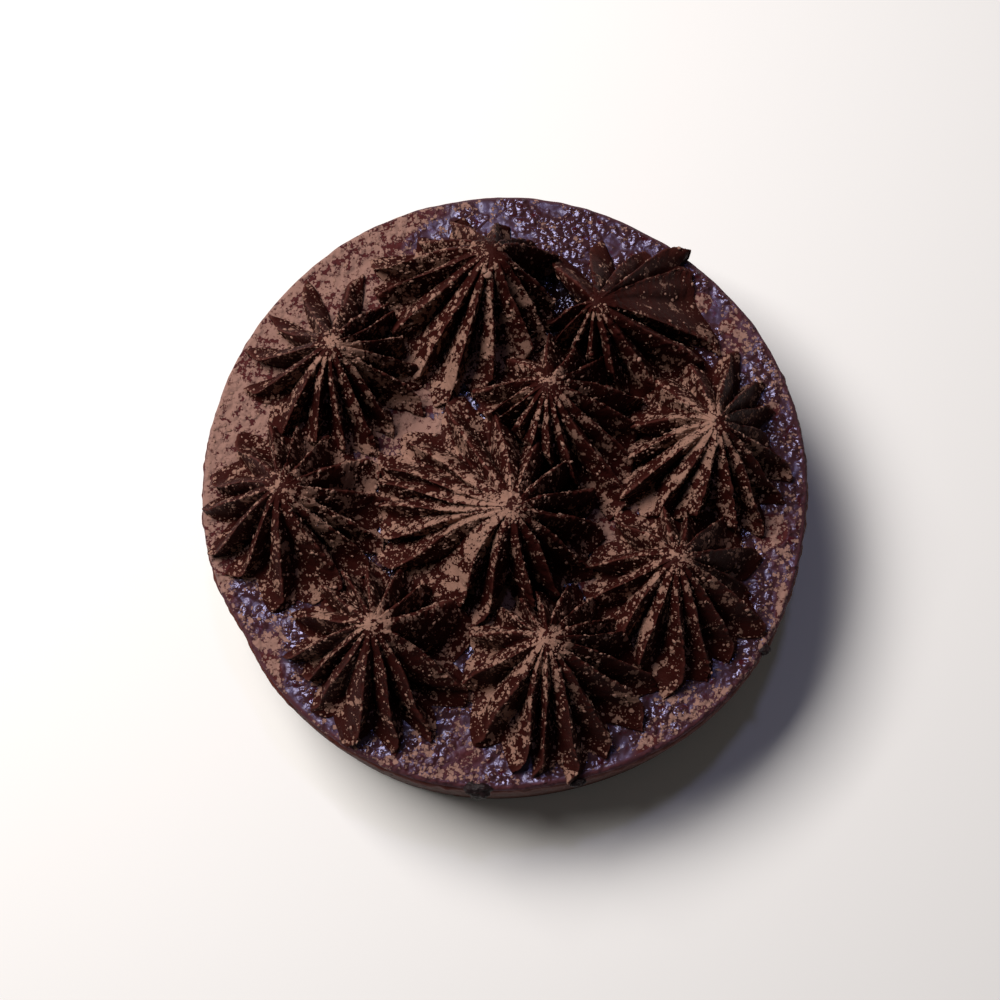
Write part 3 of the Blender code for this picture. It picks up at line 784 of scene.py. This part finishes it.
def makeCake(material):
    # rows run from the middle of the flat bottom over the rounded foot, up the side and round the shoulder
    # to the top, at radius rim(angle) less an inset, pushed inwards by pores, the ring's scrape marks and
    # a slow swell
    low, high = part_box("cheesecake")
    degrees = np.arange(cake["columns"]) * 360.0 / cake["columns"]
    around = onCircle(degrees)
    foot = cake["footRounding"]
    shoulder = cake["shoulder"]
    turn = np.linspace(0, math.pi / 2, cake["bendRows"])
    bottom = [(inset, low.z) for inset in cake["bottomInsets"]]
    footBend = [(foot * (1 - math.sin(a)), low.z + foot * (1 - math.cos(a))) for a in turn]
    side = [(0.0, z) for z in np.linspace(low.z + foot, high.z - shoulder, cake["sideRows"])[1:-1]]
    shoulderBend = [(shoulder * (1 - math.cos(a)), high.z - shoulder * (1 - math.sin(a))) for a in turn]
    top = [(inset, high.z) for inset in cake["topInsets"]]
    inset, level = np.array(bottom + footBend + side + shoulderBend + top).T[:, :, None]
    grid = np.empty((len(inset), len(degrees), 3))
    grid[..., :2] = (rimRadius(degrees)[None, :] - inset)[..., None] * around[None]
    grid[..., 2] = level
    grid -= rimShift()
    upwards = [ramp(level, high.z - start, high.z - full) for start, full in
               (cake["crumblyBand"], cake["brownBand"], cake["dustedBand"])]
    onRim, upper, dusted = [band + np.zeros(len(degrees)) for band in upwards]
    start, full = cake["smoothFoot"]
    onSide = ramp(level, low.z + start, low.z + full) * (inset < cake["smoothTop"])
    fieldSize, few, many = cake["poreField"]
    pits = ramp(roughNoise(grid, cake["poreSize"], 2, 11), *cake["poreRange"])
    pits = pits * ramp(roughNoise(grid, fieldSize, 2, 12), few, many)
    markWidth, drawnOut, markDepth = cake["ringMarks"]
    scrape = roughNoise(grid * np.array([1.0, 1.0, drawnOut]), markWidth, 2, 13)
    swellSize, swellDepth = cake["swell"]
    swell = roughNoise(grid, swellSize, 2, 14)
    push = pits * cake["poreDepth"] + (scrape * 0.5 + 0.5) * markDepth + (swell * 0.5 + 0.5) * swellDepth
    crumbSize, drawnOut, crumbDepth = cake["crumble"]
    middle, spread = cake["crumbleRange"]
    crumbled = middle + spread * roughNoise(grid * np.array([1.0, 1.0, drawnOut]), crumbSize, 3, 15)
    push += np.clip(crumbled, 0.0, None) * crumbDepth * onRim
    grid[..., :2] -= around[None] * (push * onSide)[..., None]
    factor, shift = cake["rimDust"]
    amount = cocoaByDirection(degrees)[None, :] * factor + shift
    dust = np.where(dusted > 0, amount * dusted - (1 - dusted), -1.0)
    piece = closedGrid("cheesecake_body", grid, material,
                       attributes={"cocoa": dust, "pores": pits * onSide, "upper": upper})
    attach(piece, "root")
    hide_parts("cheesecake")
    print("cake body:", len(piece.data.vertices), "points")


# the chocolate layer

def glazeHeight(points):
    # beads of about 2 mm with rounded tops over a slow swell
    beads = roughNoise(points, glaze["beadSize"], 3, 21)
    swell = roughNoise(points, glaze["swellSize"], 2, 22)
    return beads * glaze["beadHeight"] + swell * glaze["swellHeight"]


def glazeCocoa(grid, degrees, inside, fromMiddle, inHole):
    # the amount by direction round the rim and a steady one between the stars, less in the lee of each
    # star, with slow ups and downs, more in the open patches and none in the hole and down the edge
    amount = cocoaByDirection(degrees)[None, :]
    ringPart = ramp(fromMiddle, *glaze["middle"])
    dust = amount * ringPart + cocoa["betweenStars"] * (1 - ringPart)
    start, end = cocoa["shelter"]
    filled, thick = cocoa["filledUp"]
    for star in pipedStars.values():
        away = awayFrom(star["foot"], grid)
        lee = 1 - ramp(away, (star["radius"] + start) * mm, (star["radius"] + end) * mm)
        dust = dust - cocoa["sheltered"] * lee * (1 - filled * ramp(amount, *thick))
    size, strength, weaker, thick = cocoa["unevenness"]
    dust += (strength - weaker * ramp(amount, *thick)) * roughNoise(grid, size, 3, 24)
    for x, y, radius, most in cocoa["openPatches"]:
        dust = np.maximum(dust, most * bell(awayFrom((x, y), grid), radius * mm, 4))
    slidOff = (1 - ramp(inside, *cocoa["bareBand"])) * (1 - ramp(amount, *cocoa["bareUnder"]))
    return dust * (1 - slidOff) - cocoa["slidOff"] * slidOff - cocoa["bareHole"] * inHole


def makeGlaze(material):
    # rings from under the layer round its lip and over the top: the lip is a quarter of an ellipse as high
    # as the layer and lipWidth across, and the top is raised by the beads
    low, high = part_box("chocolate_glaze")
    floor = low.z - glaze["sunk"]
    thickness = high.z - floor
    degrees = np.arange(glaze["columns"]) * 360.0 / glaze["columns"]
    around = onCircle(degrees)
    circle = np.concatenate([around, np.zeros((len(degrees), 1))], axis=-1)
    wanderRadius, wanderSize = glaze["wander"]
    wander = glaze["edgeWander"] * roughNoise(circle * wanderRadius, wanderSize, 3, 23)
    edge = rimRadius(degrees) - glaze["inset"] + wander
    lipWidth = glaze["lipWidth"]
    turn = np.linspace(0, math.pi / 2, glaze["lipRows"])
    under = [(inset, 0.0) for inset in glaze["underInsets"]]
    lip = [(lipWidth * (1 - math.cos(a)), thickness * math.sin(a)) for a in turn]
    inset, level = np.array(under + lip).T[:, :, None]
    outer = np.linspace(1, 0, glaze["outerRings"])[1:, None]
    inner = 1 - np.linspace(0, 1, glaze["innerRings"])[1:-1, None]
    middle = glaze["innerRadius"]
    radius = np.concatenate([edge - inset, middle + (edge - lipWidth - middle) * outer,
                             middle * inner + np.zeros(len(degrees))])
    grid = np.empty(radius.shape + (3,))
    grid[..., :2] = radius[..., None] * around[None]
    grid[..., 2] = high.z
    grid[:len(level), :, 2] = floor + level
    grid -= rimShift()
    fromMiddle = np.linalg.norm(grid[..., :2], axis=-1)
    inside = edge[None, :] - fromMiddle
    settled = ramp(inside, *glaze["settledBand"])
    settled[:len(under) + 1] = 0
    grid[..., 2] += glazeHeight(grid) * settled - glaze["sunk"] * settled
    inHole = bell(awayFrom(glaze["hole"], grid), glaze["hole"][2] * mm, 4)
    # painted shade: the glaze is painted near-black in the hole and between the stars, where shade falls
    shaded = np.maximum(inHole, 1 - ramp(fromMiddle, *glaze["paintedShadeMiddle"]))
    dust = glazeCocoa(grid, degrees, inside, fromMiddle, inHole)
    thin = 1 - ramp(inside, *glaze["thinBand"])
    piece = closedGrid("poured_glaze", grid, material,
                       attributes={"cocoa": dust, "thin": thin, "shaded": shaded})
    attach(piece, "root")
    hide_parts("chocolate_glaze")
    print("glaze:", len(piece.data.vertices), "points")
    onTop = glaze["onTop"]
    return grid[onTop:], dust[onTop:]


# the piped stars

def neighbourWalls(name):
    # upright planes where this star was pressed against its neighbours, each a point and the way it faces
    star = pipedStars[name]
    here = np.array(star["foot"]) * mm
    found = []
    for other, there in pipedStars.items():
        apartBy = np.array(there["foot"]) * mm - here
        distance = np.linalg.norm(apartBy)
        if other == name or distance > (star["radius"] + there["radius"]) * mm * piping["neighbourReach"]:
            continue
        outward = apartBy / distance
        share = (distance**2 + (star["radius"] * mm) ** 2 - (there["radius"] * mm) ** 2) / (2 * distance)
        found.append((here + outward * (share + piping["pressedTogether"]), outward))
    return found


def reachTo(start, direction, middle, radius):
    # how far it is from a point along a direction to a circle round it
    offset = start - middle
    along = (direction * offset).sum(axis=-1)
    return -along + np.sqrt(along**2 - (offset**2).sum(axis=-1) + radius**2)


def withOwn(values, star, key):
    # the value of every crest, with those that the star's table gives for some of them put in
    for crest, wanted in star.get(key, {}).items():
        values[star["crests"].index(crest)] = wanted
    return values


def finColumns(star):
    # for every column its fin, its direction, how far it is from the crest (0) to the groove (1) and the
    # crest before that groove. The groove after a crest lies steepShare of the way to the next one
    crests = np.array(star["crests"], float)
    count = len(crests)
    gaps = (np.roll(crests, -1) - crests) % 360.0
    steep = gaps * withOwn(np.full(count, piping["steepShare"]), star, "valleys")
    broad = np.roll(gaps - steep, 1)
    sides = (np.array((1.0,) + piping["broadColumns"] + (0.0,)), np.array(piping["steepColumns"]))
    fin, angle, away, groove = [], [], [], []
    for i in range(count):
        for shares, turn, before in ((sides[0], -broad[i], (i - 1) % count), (sides[1], steep[i], i)):
            fin.append(np.full(len(shares), i))
            angle.append(crests[i] + turn * shares)
            away.append(shares)
            groove.append(np.full(len(shares), before))
    return map(np.concatenate, (fin, angle, away, groove))


def starSkin(grid, up, away, number):
    # how far the skin is pushed outwards: torn in on the crests in patches, soft lumps, a fine upright
    # grain and crumbs near the peak
    size, depth = piping["tears"]
    patchSize, least, noise = piping["tornPatches"]
    patches = least + (1 - least) * ramp(roughNoise(grid, patchSize, 2, 51 + number), *noise)
    tears = np.minimum(roughNoise(grid, size, 3, 31 + number), piping["shallowTears"]) * depth
    torn = tears * bell(away, piping["tornCrest"]) * patches
    size, height = piping["lumps"]
    lumps = roughNoise(grid, size, 3, 71 + number) * height
    size, height, drawnOut = piping["skin"]
    skin = roughNoise(grid * np.array([1.0, 1.0, drawnOut]), size, 2, 91 + number) * height
    size, height, grows = piping["crumbledPeak"]
    crumbled = roughNoise(grid, size, 2, 111 + number) * height * ramp(up, *grows)
    return (torn + lumps + skin + crumbled) * (1 - ramp(up, *piping["plainPeak"]))


def starGrid(name, number):
    # for each direction round the centre line and each level up it, the reach is the round foot's reach
    # times the profile's share, less a groove that deepens with the distance from the crest, nearly in a
    # straight line, so that every fin is a thin blade with a V on both sides
    star = pipedStars[name]
    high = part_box(name)[1]
    foot = np.array(star["foot"]) * mm
    peak = np.array(star["peak"]) * mm
    fin, angle, away, groove = finColumns(star)
    crests = np.array(star["crests"], float)
    count = len(crests)
    own = np.random.default_rng(piping["seed"] + number)
    length = 1 + own.uniform(-1, 1, count) * piping["lengthSpread"]
    depth = 1 + own.uniform(-1, 1, count) * piping["depthSpread"]
    depth = depth * withOwn(np.ones(count), star, "grooves")
    atFoot = own.uniform(*piping["footGrooves"], count)
    atFoot[np.isin(crests, star.get("openToes", ()))] = piping["openToes"]
    toe = own.uniform(*piping["toeLean"], count)
    drag = own.uniform(-1, 1, count) * piping["drag"]
    bend = own.uniform(*piping["sectionBend"], count)
    overshoot = own.uniform(*piping["overshoot"], count) * mm

    def between(values):
        # from a fin's own value at its crest to the mean of its own and its neighbour's at the groove
        return values[fin] + ((values[groove] + values[(groove + 1) % count]) / 2 - values[fin]) * away

    share = np.linspace(0, 1, piping["rows"]) ** piping["rowCrowding"]
    reachShare, up, grooveDepth = np.maximum(onCurve(piping["profile"], share), 0.0).T[:, :, None]
    up = np.minimum(up, 1.0)
    centreShare = piping["centreLineShare"]
    centre = foot + (peak - foot) * (centreShare + (1 - centreShare) * up)[..., None]
    base = foot + (peak - foot) * centreShare
    gaps = (np.roll(crests, -1) - crests) % 360.0
    most = np.minimum(piping["sway"], piping["swayShare"] * np.minimum(gaps, np.roll(gaps, 1)))
    sway = np.random.default_rng(piping["swaySeed"] + number).uniform(-1, 1, count) * most
    swung = between(withOwn(sway, star, "sways")) * np.sin(piping["swayTurns"] * math.pi * up)
    lean = toe[fin] * bell(up, piping["toeHeight"]) * (1 - away) ** piping["toeNarrowing"]
    turned = angle - lean + drag[fin] * (1 - up) ** 2 * (1 - away) + swung
    direction = onCircle(turned)
    sag = between(withOwn(np.zeros(count), star, "lowFins")) * np.sin(math.pi * up)
    reach = reachTo(base, direction, foot, star["radius"] * mm) * reachShare * between(length) * (1 - sag)
    lift = np.zeros_like(angle)
    for crest, extra, raised, halfWidth in star.get("longFins", ()):
        pull = bell(apart(angle, crest), halfWidth)
        reach = reach + extra * mm * pull * reachShare
        lift = lift + raised * mm * pull
    walls = neighbourWalls(name)
    turnedTo = np.max([direction @ outward for point, outward in walls], axis=0)
    reach = reach * (1 + piping["spread"] * ramp(turnedTo, *piping["spreadRange"]))
    reach = np.minimum(reach, reachTo(centre, direction, np.zeros(2), cake["radius"] - piping["insideRim"]))
    rounding = piping["crestRounding"]
    section = (np.sqrt(away**2 + rounding**2) - rounding) / (math.sqrt(1 + rounding**2) - rounding)
    opened = 1 + (atFoot[groove] - 1) * (1 - ramp(up, *piping["footGroovesEnd"]))
    cut = np.minimum(grooveDepth * depth[groove] * opened, piping["deepestCut"])
    reach = reach * (1 - section ** bend[fin] * cut)
    for point, outward in walls:
        facing = direction @ outward
        room = (point - centre) @ outward + overshoot[fin] * (1 - away)
        reach = np.minimum(reach, np.where(facing > 1e-6, room / np.maximum(facing, 1e-6), 1.0))
    grid = np.empty(reach.shape + (3,))
    grid[..., :2] = centre + direction * reach[..., None]
    floor = piping["footLevel"]
    grid[..., 2] = floor + (high.z - floor) * up + lift * reachShare**3 * (1 - up)
    grid = grid + gridNormals(grid) * starSkin(grid, up, away, number)[..., None]
    grid[..., 2] = np.minimum(grid[..., 2], high.z - piping["belowTop"])
    return grid, away, up, base


def starCocoa(name, grid, away, up):
    # the slope's turn towards the sifting point, more towards the peak and on the side nearer that point,
    # and less on the thin crests and in the bottoms of the grooves
    source = np.array(cocoa["siftedFrom"]) * mm
    towards = source - grid
    towards /= np.linalg.norm(towards, axis=-1, keepdims=True)
    facing = (gridNormals(grid) * towards).sum(axis=-1)
    star = pipedStars[name]
    middle = np.array(star["foot"]) * mm
    inward = source[:2] - middle
    inward /= np.linalg.norm(inward)
    side = ((grid[..., :2] - middle) @ inward) / (star["radius"] * mm)
    least, rest, turns = cocoa["caught"]
    amount = star["cocoa"] * (least + rest * ramp(facing, *turns))
    more, band = cocoa["hub"]
    amount = amount + cocoa["nearSide"] * np.clip(side, -1, 1) + star.get("hub", more) * ramp(up, *band)
    less, width = cocoa["crestLoss"]
    lessDeep, deep = cocoa["grooveLoss"]
    amount = amount - less * bell(away, width) - lessDeep * ramp(away, *deep)
    for x, y, radius, more in star.get("dusted", ()):
        amount = amount + more * bell(awayFrom((x, y), grid), radius * mm, 4)
    return amount


def paintedLightParts(name, grid, away, up, base):
    # painted highlight and painted light: how much paler the cream is painted on every fin's crest edge, in
    # patches, and all over the fins listed in paintedLitFins, as if they were lit
    size, least, noise = piping["paintedCrestHighlightPatches"]
    width, end = piping["paintedCrestHighlight"]
    edge = bell(away, width) * (1 - ramp(up, *end))
    edge = edge * (least + (1 - least) * ramp(roughNoise(grid, size, 2, 131), *noise))
    size, least, noise = piping["paintedLitPatches"]
    angle = np.degrees(np.arctan2(grid[..., 1] - base[1], grid[..., 0] - base[0]))
    for toward, halfWidth, amount in pipedStars[name].get("paintedLitFins", ()):
        pale = amount * bell(apart(angle, toward), halfWidth) * (1 - ramp(up, *piping["paintedLitEnd"]))
        patchy = least + (1 - least) * ramp(roughNoise(grid, size, 3, 133), *noise)
        edge = np.maximum(edge, pale * patchy)
    return edge


def makeStar(name, number, material):
    # the star's grid on two rows of its foot that are sunk in the glaze, the inner one half as wide, and
    # its peak as the upper pole
    grid, away, up, base = starGrid(name, number)
    dust = starCocoa(name, grid, away, up)
    footRow = grid[0].copy()
    footRow[:, 2] = piping["footLevel"] - piping["sunkInGlaze"]
    innerRow = footRow.copy()
    innerRow[:, :2] = base + (footRow[:, :2] - base) * 0.5
    whole = np.concatenate([innerRow[None], footRow[None], grid[:-1]])
    # painted highlight and painted light, laid into the cream's colour
    edge = paintedLightParts(name, grid[:-1], away, up[:-1], base)
    paintedLightRows = np.concatenate([np.zeros((2, len(away))), edge])
    dustRows = np.concatenate([np.full((2, len(away)), -1.0), dust[:-1]])
    piece = closedGrid(name.replace("piped_star", "ganache_star"), whole, material,
                       above=grid[-1].mean(axis=0), attributes={"cocoa": dustRows, "edge": paintedLightRows})
    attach(piece, "root")
    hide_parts(name)
    print(name, len(piece.data.vertices), "points")
    return grid, dust


# loose cocoa and crumbs

def grainShapes(count, seed):
    # unit lumps of 20 faces, each with its corners pushed in or out by up to a third
    draws = np.random.default_rng(seed)
    golden = (1 + 5**0.5) / 2
    corners = np.array([(-1, golden, 0), (1, golden, 0), (-1, -golden, 0), (1, -golden, 0), (0, -1, golden),
                        (0, 1, golden), (0, -1, -golden), (0, 1, -golden), (golden, 0, -1), (golden, 0, 1),
                        (-golden, 0, -1), (-golden, 0, 1)]) / math.hypot(1, golden)
    faces = np.array([(0, 11, 5), (0, 5, 1), (0, 1, 7), (0, 7, 10), (0, 10, 11), (1, 5, 9), (5, 11, 4),
                      (11, 10, 2), (10, 7, 6), (7, 1, 8), (3, 9, 4), (3, 4, 2), (3, 2, 6), (3, 6, 8),
                      (3, 8, 9), (4, 9, 5), (2, 4, 11), (6, 2, 10), (8, 6, 7), (9, 8, 1)])
    push = draws.uniform(*cocoa["grainCorners"], (count, len(corners), 1))
    return corners[None] * push, faces


def scatterGrains(name, places, normals, sizes, material, seed):
    # every lump is stretched, flattened along the surface's normal and set with its middle just above it
    shapes, faces = grainShapes(len(places), seed)
    draws = np.random.default_rng(seed + 1)
    stretch = draws.uniform(*cocoa["grainStretch"], (len(places), 1, 3))
    lumps = shapes * stretch * sizes[:, None, None]
    depth = (lumps * normals[:, None, :]).sum(axis=-1, keepdims=True)
    lumps = lumps - normals[:, None, :] * depth * cocoa["grainFlattening"]
    lift = normals * (sizes * cocoa["grainLift"])[:, None]
    points = lumps + (places + lift)[:, None, :]
    corners = (faces[None] + np.arange(len(places))[:, None, None] * shapes.shape[1]).ravel()
    piece = addPiece(name, points.reshape(-1, 3), corners, np.full(len(corners) // 3, 3), material)
    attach(piece, "root")
    return piece


def chooseGrains(grids, dusts, count, seed):
    # grid points drawn with a chance of cell area times a power of the cocoa there, then shifted a little
    draws = np.random.default_rng(seed)
    size, strength, shift, limits, power = cocoa["grainPatches"]
    points, normals, chances = [], [], []
    for grid, dust in zip(grids, dusts):
        around = np.linalg.norm(np.roll(grid, -1, axis=1) - grid, axis=-1)
        along = np.linalg.norm(np.gradient(grid, axis=0), axis=-1)
        patches = 0.5 + 0.5 * roughNoise(grid, size, 2, 61)
        chance = np.clip(dust + strength * patches + shift, *limits) ** power
        chances.append((around * along * chance).ravel())
        points.append(grid.reshape(-1, 3))
        normals.append(gridNormals(grid).reshape(-1, 3))
    points, normals, chances = map(np.concatenate, (points, normals, chances))
    picked = draws.choice(len(points), count, replace=False, p=chances / chances.sum())
    shifted = draws.uniform(-cocoa["grainShift"], cocoa["grainShift"], (count, 3)) * mm
    shifted -= normals[picked] * (shifted * normals[picked]).sum(axis=-1, keepdims=True)
    small, large = cocoa["grainSizes"]
    sizes = small + (large - small) * draws.uniform(0, 1, count) ** cocoa["fewLarge"]
    return points[picked] + shifted, normals[picked], sizes / 2


def makeCrumb(index, direction, distance, size, material):
    # a flattened ball whose radius is broken up by noise at nearly its own size
    ball = ballGrid(*crumbs["ball"])
    lumpSize, height = crumbs["lumps"]
    noise = roughNoise(ball + index * crumbs["apart"], lumpSize, 4, 81 + index)
    ball = ball * (1 + height * noise)[..., None] * np.array(crumbs["halves"]) * size * mm
    middle = np.append(onCircle(direction) * distance * mm, crumbs["level"])
    piece = closedGrid("crumb_%d" % index, ball + middle, material)
    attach(piece, "root")
    return piece


def makeNodule(grid, material):
    # a flattened ball pressed into the highest skin of the star under its place
    nodule = cocoa["nodule"]
    points = grid.reshape(-1, 3)
    away = awayFrom(nodule["place"], points)
    seat = points[np.argmin(np.where(points[:, 2] > nodule["above"], away, 1.0))]
    ball = ballGrid(*nodule["ball"])
    lumpSize, height = nodule["lumps"]
    ball = ball * (1 + height * roughNoise(ball, lumpSize, 3, 141))[..., None] * np.array(nodule["halves"])
    piece = closedGrid("cocoa_nodule", ball + seat, material)
    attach(piece, "root")


def makeFloor():
    material, tree, shader = startMaterial("matt_white_table")
    fillInputs(tree, shader, {"Base Color": paint["floor"], "Roughness": 0.9})
    mesh = bpy.data.meshes.new("floor")
    side = 3.0  # metres from the middle
    corners = [(-side, -side, 0), (side, -side, 0), (side, side, 0), (-side, side, 0)]
    mesh.from_pydata(corners, [], [(0, 1, 2, 3)])
    mesh.materials.append(material)
    floor = bpy.data.objects.new("floor", mesh)
    bpy.context.scene.collection.objects.link(floor)


# camera and light

view = {
    "tilt": 11.0,  # degrees off straight down, towards the front of the cake
    "distance": 450.0 * mm,
    "aim": (-1.26 * mm, -4.28 * mm, 40.0 * mm),
    "lens": 64.4,
    "sensor": 36.0,
    "nearest": 10 * mm,
}


def makeCamera():
    tilt = math.radians(view["tilt"])
    camera = bpy.data.objects.new("camera", bpy.data.cameras.new("camera"))
    camera.data.lens = view["lens"]
    camera.data.sensor_width = view["sensor"]
    camera.data.clip_start = view["nearest"]
    away = Vector((0.0, -math.sin(tilt), math.cos(tilt)))
    camera.location = Vector(view["aim"]) + away * view["distance"]
    camera.rotation_euler = (tilt, 0.0, 0.0)
    bpy.context.scene.collection.objects.link(camera)
    bpy.context.scene.camera = camera


lights = {  # where each softbox stands, its sides in metres, power in watts and colour
    "window": ((-0.36, 0.26, 0.72), (0.46, 0.36), 9.2, (1.0, 0.96, 0.93)),
    "sky": ((0.03, 0.30, 1.0), (0.06, 0.06), 0.6, (0.50, 0.54, 1.0)),
}
roomLight = {"Color": (1.0, 0.95, 0.90, 1.0), "Strength": 0.055}
lightsAim = Vector((0, 0, 0.03))


def makeLights():
    for name, (place, sides, power, colour) in lights.items():
        lamp = bpy.data.lights.new(name, "AREA")
        lamp.shape = "RECTANGLE"
        lamp.size, lamp.size_y = sides
        lamp.energy = power
        lamp.color = colour
        softbox = bpy.data.objects.new(name, lamp)
        softbox.location = place
        softbox.rotation_euler = (lightsAim - Vector(place)).to_track_quat("-Z", "Y").to_euler()
        bpy.context.scene.collection.objects.link(softbox)
    world = bpy.data.worlds.new("studio")
    bpy.context.scene.world = world
    world.use_nodes = True
    fillInputs(world.node_tree, world.node_tree.nodes["Background"], roomLight)
    bpy.context.scene.view_settings.view_transform = "Standard"


def buildScene():
    makeCamera()
    makeLights()
    makeFloor()
    ganache = pipedGanache()
    powder = siftedCocoa()
    makeCake(bakedCake())
    glazeTop, glazeDust = makeGlaze(pouredGlaze())
    made = [makeStar(name, number, ganache) for number, name in enumerate(pipedStars)]
    starGrids, starDusts = zip(*made)
    grains = chooseGrains(starGrids, starDusts, cocoa["grainsOnStars"], cocoa["seed"])
    scatterGrains("cocoa_on_stars", *grains, powder, 5)
    grains = chooseGrains([glazeTop], [glazeDust], cocoa["grainsOnGlaze"], cocoa["seed"] + 1)
    scatterGrains("cocoa_on_glaze", *grains, powder, 6)
    burnt = burntCrumb()
    for index, (direction, distance, size) in enumerate(crumbs["places"]):
        makeCrumb(index, direction, distance, size, burnt)
    makeNodule(starGrids[1], powder)
    print("cocoa grains and crumbs scattered")


buildScene()
